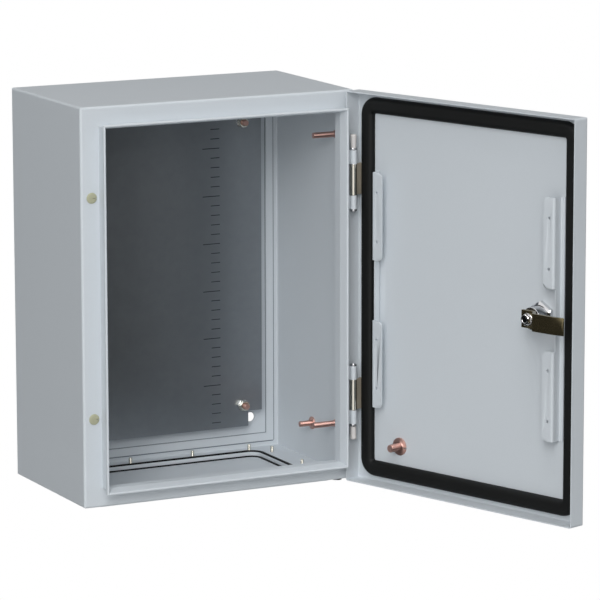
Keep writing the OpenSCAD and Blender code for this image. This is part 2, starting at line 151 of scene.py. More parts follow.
class Surface:
    """Grids of points gathered into one mesh."""

    def __init__(self) -> None:
        """Start with no points and no faces."""
        self.points: list[np.ndarray] = []
        self.faces: list[np.ndarray] = []
        self.count = 0

    def grid(
        self,
        points: np.ndarray,
        place: Optional[Matrix] = None,
        wrap_u: bool = False,
        wrap_v: bool = False,
    ) -> "Surface":
        """Add a grid of points, with one quad for each cell.

        Args:
            points: array of shape (rows, columns, 3), in millimetres.
            place: matrix to the frame; None keeps the points as they are.
            wrap_u: join the last row to the first.
            wrap_v: join the last column to the first.

        Returns:
            This surface, so that calls can follow one another.
        """
        rows, columns = points.shape[:2]
        u = np.arange(rows if wrap_u else rows - 1)
        v = np.arange(columns if wrap_v else columns - 1)
        a, b = np.meshgrid(u, v, indexing="ij")
        next_u, next_v = (a + 1) % rows, (b + 1) % columns
        quads = np.stack(
            [a * columns + b, next_u * columns + b, next_u * columns + next_v, a * columns + next_v], -1
        )
        flat = points.reshape(-1, 3)
        if place is not None:
            matrix = np.array(place)
            flat = flat @ matrix[:3, :3].T + matrix[:3, 3]
        self.points.append(flat)
        self.faces.append(quads.reshape(-1, 4) + self.count)
        self.count += len(flat)
        return self

    def mesh(self, name: str) -> bpy.types.Mesh:
        """Return the gathered grids as one new mesh of that name."""
        made = bpy.data.meshes.new(name)
        made.from_pydata(np.concatenate(self.points).tolist(), [], np.concatenate(self.faces).tolist())
        return made

    def piece(self, name: str, finish: "Finish", smooth_deg: float = 35.0) -> bpy.types.Object:
        """Put the gathered grids into a mesh object in the frame.

        Args:
            name: the object's name.
            finish: the finish that it gets.
            smooth_deg: edges that bend by less than this are shaded smooth.

        Returns:
            The new object, at the origin, with its place in its mesh.
        """
        return finished_object(name, self.mesh(name), finish, smooth_deg)


def finished_object(
    name: str, mesh: bpy.types.Mesh, finish: "Finish", smooth_deg: float
) -> bpy.types.Object:
    """Merge a mesh's coincident points, point its faces outwards, shade it and link it.

    Args:
        name: the object's name.
        mesh: the mesh, already in the frame.
        finish: the finish that it gets.
        smooth_deg: edges that bend by less than this are shaded smooth.

    Returns:
        The linked object.
    """
    work = bmesh.new()
    work.from_mesh(mesh)
    bmesh.ops.remove_doubles(work, verts=work.verts, dist=2e-6)
    bmesh.ops.dissolve_degenerate(work, edges=work.edges, dist=1e-6)
    bmesh.ops.recalc_face_normals(work, faces=work.faces)
    work.to_mesh(mesh)
    work.free()
    mesh.shade_smooth()
    mesh.set_sharp_from_angle(angle=math.radians(smooth_deg))
    made = bpy.data.objects.new(name, mesh)
    bpy.context.scene.collection.objects.link(made)
    made.data.materials.clear()
    made.data.materials.append(finish.material())
    return made


def turned(profile: Sequence[tuple[float, float]], steps: int = 48) -> np.ndarray:
    """Turn a profile about the Z axis.

    The point at (s, angle) is (radius(s) cos angle, radius(s) sin angle, height(s)). The grid
    ends one step short of a full turn, so that step stays open unless the grid is wrapped.

    Args:
        profile: (radius, height) pairs from one end to the other; radius 0 closes an end.
        steps: points round the axis.

    Returns:
        The grid of points.
    """
    line = np.array(profile, float)
    angle = np.linspace(0.0, TAU, steps, endpoint=False)
    radius, height = line[:, :1], line[:, 1:]
    return np.stack(
        [radius * np.cos(angle), radius * np.sin(angle), np.broadcast_to(height, (len(line), steps))], -1
    )


def hexagon(across: float, profile: Sequence[tuple[float, float]], steps: int = 72) -> np.ndarray:
    """Cut a turned profile to a hexagon.

    The radius at an angle is the smaller of the profile's radius and the hexagon's, which is
    half the width across the flats over the cosine of the angle from the nearest flat's middle.
    As with turned, the grid ends one step short of a full turn.

    Args:
        across: width across the flats.
        profile: (radius, height) pairs of the turned limit; chamfers and domes come from it.
        steps: points round the axis, a multiple of 12 so that they meet the corners.

    Returns:
        The grid of points.
    """
    line = np.array(profile, float)
    angle = np.linspace(0.0, TAU, steps, endpoint=False)
    off_flat = (angle + TAU / 12) % (TAU / 6) - TAU / 12
    flat_radius = across / 2 / np.cos(off_flat)
    radius = np.minimum(line[:, :1], flat_radius[None, :])
    height = np.broadcast_to(line[:, 1:], radius.shape)
    return np.stack([radius * np.cos(angle), radius * np.sin(angle), height], -1)


def thread(radius: float, start: float, length: float, pitch: float, depth: float) -> np.ndarray:
    """Cut a screw thread, with chamfered ends, as one turned surface.

    The radius at (height, angle) falls from the crest by the depth times a triangle wave of
    height / pitch - angle / turn, and runs down to the root at both ends. The wave is steepened
    and cut off at 0 and 1, which leaves narrow flats on crest and root. As with turned, the grid
    ends one step short of a full turn.

    Args:
        radius: crest radius.
        start: height of the lower end.
        length: length of the thread.
        pitch: distance from crest to crest.
        depth: height of a crest over the root.

    Returns:
        The grid of points, closed at both ends.
    """
    steps, per_pitch = 32, 8
    steepness, crest_flat = 1.25, 0.12
    height = np.linspace(0.0, length, int(length / pitch * per_pitch) + 1)[:, None]
    angle = np.linspace(0.0, TAU, steps, endpoint=False)[None, :]
    wave = np.abs(((height / pitch - angle / TAU) % 1.0) * 2.0 - 1.0)
    cut = depth * np.clip(steepness * wave - crest_flat, 0.0, 1.0)
    end_limit = radius - depth + np.minimum(height, length - height)
    body = np.minimum(radius - cut, end_limit)
    tips = np.zeros((1, steps))
    full_radius = np.concatenate([tips, body, tips])
    full_height = np.concatenate([height[:1], height, height[-1:]]) + start
    full_height = np.broadcast_to(full_height, full_radius.shape)
    return np.stack([full_radius * np.cos(angle), full_radius * np.sin(angle), full_height], -1)


def rounded_path(
    width: float, height: float, radius: float, steps: int = 12
) -> tuple[np.ndarray, np.ndarray]:
    """Walk round a rectangle with round corners, in the X-Z plane.

    Each corner is a quarter circle about its own centre; the outward normal is the direction
    from that centre, so straight sides come from the joins between corners.

    Args:
        width: size along X.
        height: size along Z.
        radius: corner radius.
        steps: points in each corner.

    Returns:
        The corner centres for each point and the outward normals, both of shape (n, 2).
    """
    quarter = np.linspace(0.0, TAU / 4, steps)
    angle = (np.arange(4)[:, None] * TAU / 4 + quarter[None, :]).ravel()
    normal = np.stack([np.cos(angle), np.sin(angle)], -1)
    signs = np.repeat(np.array([[1, 1], [-1, 1], [-1, -1], [1, -1]], float), steps, axis=0)
    centre = signs * np.array([width / 2 - radius, height / 2 - radius])
    return centre, normal


def carry_round(
    width: float, height: float, radius: float, profile: Sequence[tuple[float, float]], steps: int = 12
) -> np.ndarray:
    """Carry a closed profile round a rectangle with round corners, in the X-Z plane.

    The point at (s, t) is centre(t) + normal(t) * (radius - inward(s)), at depth y(s).
    Where the inward distance passes the radius the corner is drawn sharp.

    Args:
        width: outer size along X.
        height: outer size along Z.
        radius: outer corner radius.
        profile: (inward distance, y) pairs, closed.
        steps: points in each corner.

    Returns:
        The grid of points; both directions wrap.
    """
    centre, normal = rounded_path(width, height, radius, steps)
    line = np.array(profile, float)
    inward = line[:, 0][:, None, None]
    reach = np.maximum(radius - inward, 0.0)
    sharp = np.maximum(inward - radius, 0.0)
    plane = centre[None] - np.sign(centre)[None] * sharp + normal[None] * reach
    depth = np.broadcast_to(line[:, 1][:, None], plane.shape[:2])
    return np.stack([plane[..., 0], depth, plane[..., 1]], -1)


# ---------------------------------------------------------------- finishes


def linear(code: str) -> tuple[float, float, float, float]:
    """Turn an sRGB hex code to linear red, green, blue and alpha.

    Args:
        code: six hex digits after a hash.

    Returns:
        The linear colour with alpha 1.
    """
    values = [int(code[i : i + 2], 16) / 255.0 for i in (1, 3, 5)]
    values = [v / 12.92 if v <= 0.04045 else ((v + 0.055) / 1.055) ** 2.4 for v in values]
    return (values[0], values[1], values[2], 1.0)


def add_node(
    tree: bpy.types.NodeTree,
    kind: str,
    settings: Optional[dict[str, Any]] = None,
    inputs: Optional[dict[Any, Any]] = None,
) -> bpy.types.Node:
    """Add a node, set its properties and fill or link its inputs.

    Args:
        tree: the node tree.
        kind: the node's type name.
        settings: properties to set on the node.
        inputs: input name or number to a value, or to an output socket to link from.

    Returns:
        The new node.
    """
    node = tree.nodes.new(kind)
    for key, value in (settings or {}).items():
        setattr(node, key, value)
    for key, value in (inputs or {}).items():
        if isinstance(value, bpy.types.NodeSocket):
            tree.links.new(value, node.inputs[key])
        else:
            node.inputs[key].default_value = value
    return node


@dataclass(frozen=True)
class Finish:
    """A plain dielectric or metal, with a grain that tints it and roughens its surface.

    Attributes:
        name: what the finish is called in a workshop.
        slot: the record's material slot.
        colour: main sRGB colour.
        colour_low: the colour at the grain's low points.
        metallic: 1 for bare metal, 0 for paint, rubber and plastic.
        roughness: microscopic roughness.
        roughness_low: the roughness at the grain's low points.
        grain_mm: size of the grain.
        bump_mm: height of the grain.
        bump_strength: how strongly the grain bends the light.
        sheen: share of a plain lacquer's mirror; 0.5 is ordinary, less is duller.
    """

    name: str
    slot: str
    colour: str
    colour_low: str
    metallic: float
    roughness: float
    roughness_low: float
    grain_mm: float
    bump_mm: float
    bump_strength: float
    sheen: float = 0.5

    def material(self) -> bpy.types.Material:
        """Return the Blender material, made on first use."""
        found = bpy.data.materials.get(self.name)
        if found is not None:
            return found
        made = bpy.data.materials.new(self.name)
        made.use_nodes = True
        tree = made.node_tree
        tree.nodes.clear()
        self.shade(tree)
        return made

    def grain(self, tree: bpy.types.NodeTree) -> bpy.types.NodeSocket:
        """Return a noise of the grain's size, from 0 to 1, fixed to the piece."""
        place = add_node(tree, "ShaderNodeTexCoord")
        noise = add_node(
            tree,
            "ShaderNodeTexNoise",
            inputs={
                "Vector": place.outputs["Object"],
                "Scale": 1.0 / (self.grain_mm * MM),
                "Detail": 3.0,
                "Roughness": 0.55,
            },
        )
        return noise.outputs["Fac"]

    def shade(self, tree: bpy.types.NodeTree) -> None:
        """Fill the node tree: grain to colour, roughness and bump of one Principled shader."""
        grain = self.grain(tree)
        tint = add_node(
            tree,
            "ShaderNodeMix",
            {"data_type": "RGBA"},
            {0: grain, 6: linear(self.colour_low), 7: linear(self.colour)},
        )
        rough = add_node(
            tree,
            "ShaderNodeMapRange",
            inputs={"Value": grain, "To Min": self.roughness_low, "To Max": self.roughness},
        )
        bump = add_node(
            tree,
            "ShaderNodeBump",
            inputs={"Strength": self.bump_strength, "Distance": self.bump_mm * MM, "Height": grain},
        )
        shader = add_node(
            tree,
            "ShaderNodeBsdfPrincipled",
            inputs={
                "Base Color": tint.outputs[2],
                "Metallic": self.metallic,
                "Roughness": rough.outputs["Result"],
                "Specular IOR Level": self.sheen,
                "Normal": bump.outputs["Normal"],
            },
        )
        add_node(tree, "ShaderNodeOutputMaterial", inputs={"Surface": shader.outputs["BSDF"]})


# Polyester powder coat, baked: satin light grey with a very fine orange peel. The peel is about
# 0.3 mm on the real sheet and is drawn at 1.5 mm, which is as fine as shows.
POWDER_COAT = Finish(
    "powder_coat_light_grey", "paint", "#d3d9de", "#cfd5da", 0.0, 0.46, 0.40, 1.5, 0.05, 0.12
)
# Hot-dip galvanised sheet, skin-passed: dark bluish metal with a dull mirror and faint cloudy spangle.
GALVANISED = Finish("galvanised_sheet", "zinc_plate", "#9ca0a4", "#92969a", 1.0, 0.36, 0.30, 9.0, 0.05, 0.05)
# Electroplated zinc, blue passivated: small screws and washers, bright grey.
ZINC = Finish("zinc_plated_steel", "zinc", "#b9bcbf", "#a7abaf", 1.0, 0.30, 0.24, 1.0, 0.02, 0.1)
# Copper-plated welding stud: pink metal, a little dulled by handling.
COPPER = Finish("copper_plated_stud", "copper", "#d9b0a5", "#c89e93", 1.0, 0.40, 0.32, 1.2, 0.02, 0.1)
# Nickel-plated barrel: warm bright metal with long soft highlights.
NICKEL = Finish("nickel_plated_steel", "nickel", "#e6e2d6", "#dcd8cb", 1.0, 0.13, 0.09, 1.5, 0.02, 0.05)
# The same plate on the rolled leaf, as it comes off the press: dull and flat.
NICKEL_DULL = Finish("nickel_plated_sheet", "nickel", "#b5ac9b", "#a89f8e", 0.3, 0.62, 0.55, 1.5, 0.03, 0.08)
# Bright chrome on a turned or forged part: near-mirror.
CHROME = Finish("bright_chrome", "chrome", "#d9d9da", "#d0d0d2", 1.0, 0.09, 0.06, 2.0, 0.02, 0.04)
# Zinc die casting, as cast: grey, finely rough.
DIE_CAST = Finish("zinc_die_cast", "die_cast", "#8b8c8e", "#7c7d80", 1.0, 0.45, 0.38, 0.8, 0.03, 0.15)
# Zinc plate with olive chromate: khaki metal with a polished face.
OLIVE = Finish("olive_chromated_steel", "passivated", "#7c7257", "#746a4f", 0.9, 0.24, 0.20, 2.5, 0.01, 0.03)
# Foamed-in-place polyurethane: black, with a closed skin that has shallow pores.
FOAM = Finish("black_polyurethane_foam", "foam", "#111212", "#0b0c0c", 0.0, 0.62, 0.50, 0.9, 0.10, 0.25, 0.22)
# Moulded polyethylene plug: cream, satin.
CREAM = Finish("cream_polyethylene", "plug", "#b3b398", "#abab8f", 0.0, 0.42, 0.36, 1.6, 0.03, 0.1)
# Moulded nylon cap: light warm grey, satin.
CAP = Finish("warm_grey_nylon", "cap", "#d8d4d2", "#cdc9c6", 0.0, 0.48, 0.42, 1.2, 0.03, 0.1)
# Painted shadow of a lapped sheet joint: dull dark grey paint with no mirror, laid where the joint's step throws
# shade.
PAINTED_SEAM_SHADOW = Finish("lap_joint_painted_shadow", "paint", "#8c949b", "#848c93", 0.0, 0.80, 0.75, 1.0, 0.01, 0.05, 0.1)
# Screen-printed ink: matt near-black.
INK = Finish("screen_printed_ink", "zinc_plate", "#23272b", "#1d2124", 0.0, 0.70, 0.62, 0.8, 0.01, 0.1)


# ---------------------------------------------------------------- carried-over nodes


CARRIED: dict[Body, dict[str, Finish]] = {
    Body.CABINET: {
        "cabinet_wrap": POWDER_COAT,
        "back_panel": POWDER_COAT,
        "mounting_plate": GALVANISED,
        "plate_spacers": ZINC,
        "bond_washer": ZINC,
        "gland_plate": POWDER_COAT,
        "gland_gasket": FOAM,
    },
    Body.DOOR: {
        "door_tray": POWDER_COAT,
        "lock_seal": FOAM,
    },
}


def refinish(node: str, body: Body, finish: Finish) -> None:
    """Give a carried-over CAD node its finish.

    Args:
        node: the node's name.
        body: the body that it is on.
        finish: the finish that it gets.
    """
    mesh = frame["nodes"][node].data
    mesh.materials.clear()
    mesh.materials.append(finish.material())
    LOG.info("%s stays on %s as %s", node, body.value, finish.name)


def eased_copy(node: str, body: Body, finish: Finish, ease_mm: float, name: str) -> bpy.types.Object:
    """Replace a CAD node by a copy with merged points, smooth curves and eased edges.

    Args:
        node: the CAD node.
        body: the body that it is on.
        finish: the finish of the copy.
        ease_mm: width of the small bevel on its sharp edges; 0 leaves them sharp.
        name: the new piece's name.

    Returns:
        The new piece.
    """
    mesh = frame["nodes"][node].data.copy()
    made = finished_object(name, mesh, finish, smooth_deg=30.0)
    if ease_mm > 0:
        bevel = made.modifiers.new("eased_edges", "BEVEL")
        bevel.width = ease_mm * MM
        bevel.segments = 2
        bevel.limit_method = "ANGLE"
        bevel.angle_limit = math.radians(40)
        bevel.harden_normals = True
    return settle(made, body, finish, node)


def settle(made: bpy.types.Object, body: Body, finish: Finish, *nodes: str) -> bpy.types.Object:
    """Put a new piece on its body and hide what it replaces.

    Args:
        made: the piece.
        body: the body that it moves with.
        finish: not used.
        nodes: the CAD nodes that it stands for.

    Returns:
        The same piece.
    """
    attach(made, body.value)
    if nodes:
        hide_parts(*nodes)
    LOG.info("%s rides on %s for %s", made.name, body.value, ", ".join(nodes) or "itself")
    return made


# ---------------------------------------------------------------- sub-assemblies


@dataclass
class MountingPlate:
    """Galvanised plate with printed graduations, held by four studs, washers and flange nuts."""

    mark_right: float = 76.5
    short_mark: float = 10.2
    long_mark: float = 19.5
    mark_height: float = 0.85
    mark_count: int = 32
    mark_pitch: float = 10.0
    mark_top: float = 144.5
    long_every: int = 5
    long_first: int = 2
    ink_height: float = 0.06
    stud_radius: float = 3.0
    stud_pitch: float = 1.0
    thread_depth: float = 0.35
    flange_radius: float = 6.5
    flange_height: float = 1.6
    washer_bore: float = 3.2
    washer_radius: float = 6.5
    washer_height: float = 1.2
    nut_bore: float = 3.05
    nut_across: float = 10.0
    nut_height: float = 5.0
    front: float = field(init=False)
    rear_end: float = field(init=False)
    stud_tip: float = field(init=False)
    centres: list[tuple[float, float]] = field(init=False)

    def build(self) -> None:
        """Build the marks, studs, washers and nuts, and finish them."""
        self.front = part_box("mounting_plate")[0].y / MM
        self.rear_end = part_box("plate_studs")[1].y / MM
        self.stud_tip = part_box("plate_studs")[0].y / MM
        half = (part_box("plate_nuts")[1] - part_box("plate_nuts")[0]) / (2 * MM)
        corner_x = half.x - self.nut_across / math.cos(TAU / 12) / 2
        corner_z = half.z - self.nut_across / 2
        self.centres = [(sx * corner_x, sz * corner_z) for sx in (-1, 1) for sz in (-1, 1)]
        self.marks()
        self.fasteners()

    def marks(self) -> None:
        """Print the graduations: thin raised bars of ink, 10 mm apart, every fifth one long."""
        surface = Surface()
        number = np.arange(self.mark_count)
        heights = self.mark_top - self.mark_pitch * number
        is_long = (number - self.long_first) % self.long_every == 0
        lengths = np.where(is_long, self.long_mark, self.short_mark)
        for height, length in zip(heights, lengths):
            surface.grid(self.bar(height, length), cabinet_place())
        settle(surface.piece("plate_graduations", INK), Body.CABINET, INK)

    def bar(self, height: float, length: float) -> np.ndarray:
        """Return a bar of ink as a closed grid: front face, bevelled edge and foot.

        The rows run from the middle of the front face outwards and back to the middle of the
        foot; each row is the same rectangle, scaled about the bar's middle.

        Args:
            height: the bar's height up the plate.
            length: its length along X.

        Returns:
            The grid of points.
        """
        loop = np.array([[1, 1], [-1, 1], [-1, -1], [1, -1], [1, 1]], float)
        half = np.array([length / 2, self.mark_height / 2])
        scale = np.array([0.0, 0.94, 1.0, 1.0, 0.0])[:, None, None]
        depth = np.array([1.0, 1.0, 0.7, 0.0, 0.0]) * self.ink_height
        plane = loop[None] * half * scale + np.array([self.mark_right - length / 2, height])
        y = self.front - np.broadcast_to(depth[:, None], plane.shape[:2])
        return np.stack([plane[..., 0], y, plane[..., 1]], -1)

    def fasteners(self) -> None:
        """Build the four studs, washers and flange nuts; each stands turned at its own angle."""
        studs, washers, nuts = Surface(), Surface(), Surface()
        for x, z in self.centres:
            place = along(cabinet_place(), (x, self.front, z), (0, -1, 0), turn=12.0 + x + z)
            root = self.front - self.rear_end
            tip = self.front - self.stud_tip
            studs.grid(turned(self.stud_flange(root)), place)
            start = root + self.flange_height
            length = tip - root - self.flange_height
            studs.grid(
                thread(self.stud_radius, start, length, self.stud_pitch, self.thread_depth), place
            )
            washers.grid(turned(self.washer_ring()), place)
            nuts.grid(self.flange_nut(self.washer_height), place)
        settle(studs.piece("plate_stud_threads", COPPER), Body.CABINET, COPPER, "plate_studs")
        settle(washers.piece("plate_washer_rings", ZINC), Body.CABINET, ZINC, "plate_washers")
        settle(nuts.piece("plate_nut_hexes", NICKEL), Body.CABINET, NICKEL, "plate_nuts")

    def stud_flange(self, root: float) -> list[tuple[float, float]]:
        """Return the profile of a stud's round flange, with its front edge chamfered.

        Args:
            root: height of its rear face.

        Returns:
            The (radius, height) pairs.
        """
        edge, top = self.flange_radius, root + self.flange_height
        return [(0, root), (edge, root), (edge, root + 1.2), (edge - 0.4, top), (0, top)]

    def washer_ring(self) -> list[tuple[float, float]]:
        """Return the washer's closed profile, with its outer edges eased."""
        bore, edge, top, ease = self.washer_bore, self.washer_radius, self.washer_height, 0.2
        rim = [(edge - ease, 0), (edge, ease), (edge, top - ease), (edge - ease, top)]
        return [(bore, 0)] + rim + [(bore, top), (bore, 0)]

    def flange_nut(self, base: float) -> np.ndarray:
        """Return a hexagon with a chamfered crown and a bore.

        Args:
            base: height of its lower face.

        Returns:
            The grid of points; its profile is closed through the bore.
        """
        bore, crown = self.nut_bore, self.nut_across / 2
        peak = crown / math.cos(TAU / 12)
        top = base + self.nut_height
        outside = [(crown, base), (peak, base + 0.7), (peak, top - 0.8), (crown - 0.1, top)]
        inside = [(3.5, top), (bore, top - 0.4), (bore, base)]
        return hexagon(self.nut_across, [(bore, base)] + outside + inside)


@dataclass
class EarthStud:
    """Threaded welding stud with a round flange."""

    name: str
    node: str
    body: Body
    radius: float
    flange_radius: float
    pitch: float
    flange_height: float = 1.6
    depth_share: float = 0.2

    def build(self, roots: Sequence[tuple[Sequence[float], Sequence[float], float]]) -> None:
        """Build the studs of one node.

        Args:
            roots: for each stud the point in metres where it meets the sheet, its direction,
                and its length in millimetres.
        """
        surface = Surface()
        edge, top = self.flange_radius, self.flange_height
        rim = [(edge, 0), (edge, top - 0.5), (edge - 0.15, top - 0.15), (edge - 0.5, top)]
        for point, axis, length in roots:
            place = along(cabinet_place(), Vector(point) / MM, axis)
            surface.grid(turned([(0, 0)] + rim + [(0, top)]), place)
            surface.grid(
                thread(self.radius, top, length - top, self.pitch, self.depth_share * self.pitch), place
            )
        settle(surface.piece(self.name, COPPER), self.body, COPPER, self.node)


@dataclass
class WeldedStuds:
    """The earth studs on the side wall and on the door, and the two long studs of the side wall."""

    earth_length: float = 15.0
    side_length: float = 26.0
    door_mount_height: float = 8.0

    def build(self) -> None:
        """Build each node's studs from the record's mounts; the wall's start at its inner face."""
        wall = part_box("cabinet_earth_stud")[1].x
        small = {"body": Body.CABINET, "radius": 3.0, "pitch": 1.0}
        earth = mount("cabinet_earth_stud")
        EarthStud("earth_stud_threaded", "cabinet_earth_stud", flange_radius=6.5, **small).build(
            [((wall, *earth["pos_m"][1:]), earth["axis"], self.earth_length)]
        )
        rods = [mount("upper_side_stud"), mount("lower_side_stud")]
        EarthStud("side_studs_threaded", "side_studs", flange_radius=4.0, **small).build(
            [((wall, *rod["pos_m"][1:]), rod["axis"], self.side_length) for rod in rods]
        )
        door = mount("door_earth_stud")
        inward = Vector(door["axis"])
        foot = Vector(door["pos_m"]) - inward * (self.door_mount_height * MM)
        EarthStud("door_stud_threaded", "door_earth_stud", Body.DOOR, 4.0, 9.0, 1.25).build(
            [(foot, inward, self.earth_length)]
        )


@dataclass
class FlangePlugs:
    """Moulded plugs with domed heads in the spare hinge holes."""

    head_radius: float = 5.4
    head_height: float = 1.5
    rim_height: float = 0.55
    stem_radius: float = 3.4
    stem_length: float = 5.2

    def build(self) -> None:
        """Build both plugs: a domed head that rounds over to its rim, and a stem."""
        low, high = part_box("hole_plugs")
        x = (low.x + high.x) / 2 / MM
        face = low.y / MM + self.head_height
        reach = high.z / MM - self.head_radius
        surface = Surface()
        bow = np.linspace(0.0, TAU / 4, 10)
        edge, stem_edge, foot, bevel = self.head_radius, self.stem_radius, -self.stem_length, 0.6
        rise = self.head_height - self.rim_height
        dome = [(edge * math.sin(b), self.rim_height + rise * math.cos(b)) for b in bow]
        rim = [(edge, 0.2), (edge - 0.2, 0.0), (stem_edge, 0.0)]
        stem = [(stem_edge, foot + bevel), (stem_edge - bevel, foot), (0, foot)]
        for z in (-reach, reach):
            surface.grid(turned(dome + rim + stem), along(cabinet_place(), (x, face, z), (0, -1, 0)))
        settle(surface.piece("flange_plugs", CREAM), Body.CABINET, CREAM, "hole_plugs")


@dataclass
class GlandScrews:
    """Screws of the gland plate: low heads with a round socket below, chamfered threaded ends inside."""

    shank_radius: float = 1.8
    head_radius: float = 3.8
    head_height: float = 1.0
    socket_radius: float = 1.1
    pitch: float = 0.7
    thread_depth: float = 0.2
    grip: float = 0.2

    def build(self) -> None:
        """Build every screw of the gland plate from the places of the CAD node's own screws."""
        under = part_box("gland_plate")[0].z / MM
        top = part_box("gland_screws")[1].z / MM
        surface = Surface()
        for x, y in self.places():
            place = along(cabinet_place(), (x, y, under), (0, 0, 1))
            length = top - under + self.grip
            surface.grid(
                thread(self.shank_radius, -self.grip, length, self.pitch, self.thread_depth), place
            )
            surface.grid(turned(self.head()), place)
        settle(surface.piece("gland_screw_set", NICKEL), Body.CABINET, NICKEL, "gland_screws")

    def places(self) -> list[tuple[float, float]]:
        """Return the screws' centres, from the ends of the CAD node's separate solids."""
        mesh = frame["nodes"]["gland_screws"].data
        points = np.empty(len(mesh.vertices) * 3, np.float32)
        mesh.vertices.foreach_get("co", points)
        points = points.reshape(-1, 3) / MM
        tips = points[points[:, 2] > points[:, 2].max() - 0.01][:, :2]
        centres = []
        while len(tips):
            near = np.hypot(*(tips - tips[0]).T) < 2.0 * self.shank_radius
            centres.append(tuple((tips[near].min(0) + tips[near].max(0)) / 2))
            tips = tips[~near]
        return centres

    def head(self) -> list[tuple[float, float]]:
        """Return the pan head's profile, with its socket, from the shank down and in."""
        edge, face, socket = self.head_radius, -self.head_height, self.socket_radius
        bow = [(edge * math.cos(a) ** 0.6, face * math.sin(a)) for a in np.linspace(0.0, 1.15, 8)]
        hole = [(1.2, face), (socket, face + 0.1), (socket, face + 0.6), (0, face + 0.7)]
        return [(0, 0)] + bow + hole


@dataclass
class Hinges:
    """Two hinges: painted knuckles on the cabinet, a nickel barrel with its leaf on the door."""

    ease: float = 0.2
    ring_ease: float = 0.15
    barrel_radius: float = 3.5
    barrel_margin: float = 0.1

    def build(self) -> None:
        """Ease the edges of both hinges' pieces and finish them."""
        axis = Vector(joint("door_hinge")["pos_m"])
        on_cabinet = (
            ("hinge_knuckles", POWDER_COAT, "knuckle_pair"),
            ("hinge_pin", CHROME, "pin_turned"),
            ("pin_cap", CAP, "cap_moulded"),
        )
        for side in ("upper", "lower"):
            for node, finish, name in on_cabinet:
                eased_copy(f"{side}_{node}", Body.CABINET, finish, self.ease, f"{side}_{name}")
            leaf = eased_copy(f"{side}_hinge_leaf", Body.DOOR, NICKEL, self.ease, f"{side}_leaf_rolled")
            self.dull_sheet(leaf, axis)
        eased_copy("pin_clips", Body.CABINET, CHROME, self.ring_ease, "pin_clip_rings")

    def dull_sheet(self, leaf: bpy.types.Object, axis: Vector) -> None:
        """Give the flat sheet of a leaf the dull plate, and leave the barrel bright.

        Args:
            leaf: the leaf with its barrel.
            axis: a point of the vertical hinge axis, in metres.
        """
        leaf.data.materials.append(NICKEL_DULL.material())
        for face in leaf.data.polygons:
            off = face.center - axis
            if math.hypot(off.x, off.y) > (self.barrel_radius + self.barrel_margin) * MM:
                face.material_index = 1


@dataclass
class BondBolt:
    """Bonding bolt through the floor, with its nut."""

    ease: float = 0.2

    def build(self) -> None:
        """Ease the edges of the bolt and its nut and finish them."""
        eased_copy("bond_bolt", Body.CABINET, ZINC, self.ease, "bond_bolt_hex")
        eased_copy("bond_nut", Body.CABINET, ZINC, self.ease, "bond_nut_hex")


@dataclass
class PaintedSeamShadows:
    """Painted shadow lines along the real laps where the back panel sits on the return flange and is set back."""

    outer_width: float = 1.4
    inner_width: float = 0.8
    inner_inset: float = 8.25
    height: float = 0.08

    def build(self) -> None:
        """Lay one thin strip of painted shadow along the rim's outer edge and one along the set-back field."""
        low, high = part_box("back_panel")
        span = (high - low) / MM
        depth = low.y / MM / 2
        face = depth - self.height
        surface = Surface()
        for inset, start, end in (
            (0.0, -self.outer_width, 0.0),
            (self.inner_inset, 0.0, self.inner_width),
        ):
            line = [(start, depth), (start, face), (end, face), (end, depth)]
            ring = carry_round(span.x - 2 * inset, span.z - 2 * inset, 0.0, line, 2)
            surface.grid(ring, cabinet_place(), wrap_u=True, wrap_v=True)
        # The strips are dark grey paint that stands in for the shade in the two lap joints.
        settle(surface.piece("back_panel_painted_seam_shadows", PAINTED_SEAM_SHADOW), Body.CABINET, PAINTED_SEAM_SHADOW)


@dataclass
class DoorGasket:
    """Foamed-in-place gasket: a low dome with steep sides, carried round the door.

    Across its width the height is rise * sqrt(1 - |u| ** fullness), with u from -1 to 1.
    """

    corner: float = 18.0
    width: float = 16.3
    fullness: int = 4
    smooth_deg: float = 60.0

    def build(self) -> None:
        """Build the gasket between the door sheet and the CAD gasket's top."""
        low, high = self.shut_box()
        base, top = low.y, high.y
        rise = top - base
        turn = np.linspace(0.0, TAU / 2, 33)
        across = self.width * (1.0 - np.cos(turn)) / 2
        height = rise * (1.0 - np.abs(np.cos(turn)) ** self.fullness) ** 0.5
        line = [(a, base + h) for a, h in zip(across, height)]
        ring = carry_round(high.x - low.x, high.z - low.z, self.corner, line, 14)
        surface = Surface().grid(ring, door_place(), wrap_u=True, wrap_v=True)
        made = surface.piece("foamed_gasket", FOAM, self.smooth_deg)
        settle(made, Body.DOOR, FOAM, "door_gasket")

    def shut_box(self) -> tuple[Vector, Vector]:
        """Return the CAD gasket's corners with the door shut, in millimetres."""
        mesh = frame["nodes"]["door_gasket"].data
        points = [shut_point(v.co) for v in mesh.vertices]
        low = Vector([min(p[i] for p in points) for i in range(3)])
        high = Vector([max(p[i] for p in points) for i in range(3)])
        return low, high


@dataclass
class Rails:
    """Stiffening rails of the door, folded from sheet and left with sharp cut edges."""

    def build(self) -> None:
        """Smooth the bends of both rails and finish them."""
        for side in ("hinge_side", "lock_side"):
            eased_copy(f"{side}_rail", Body.DOOR, POWDER_COAT, 0.0, f"{side}_rail_folded")


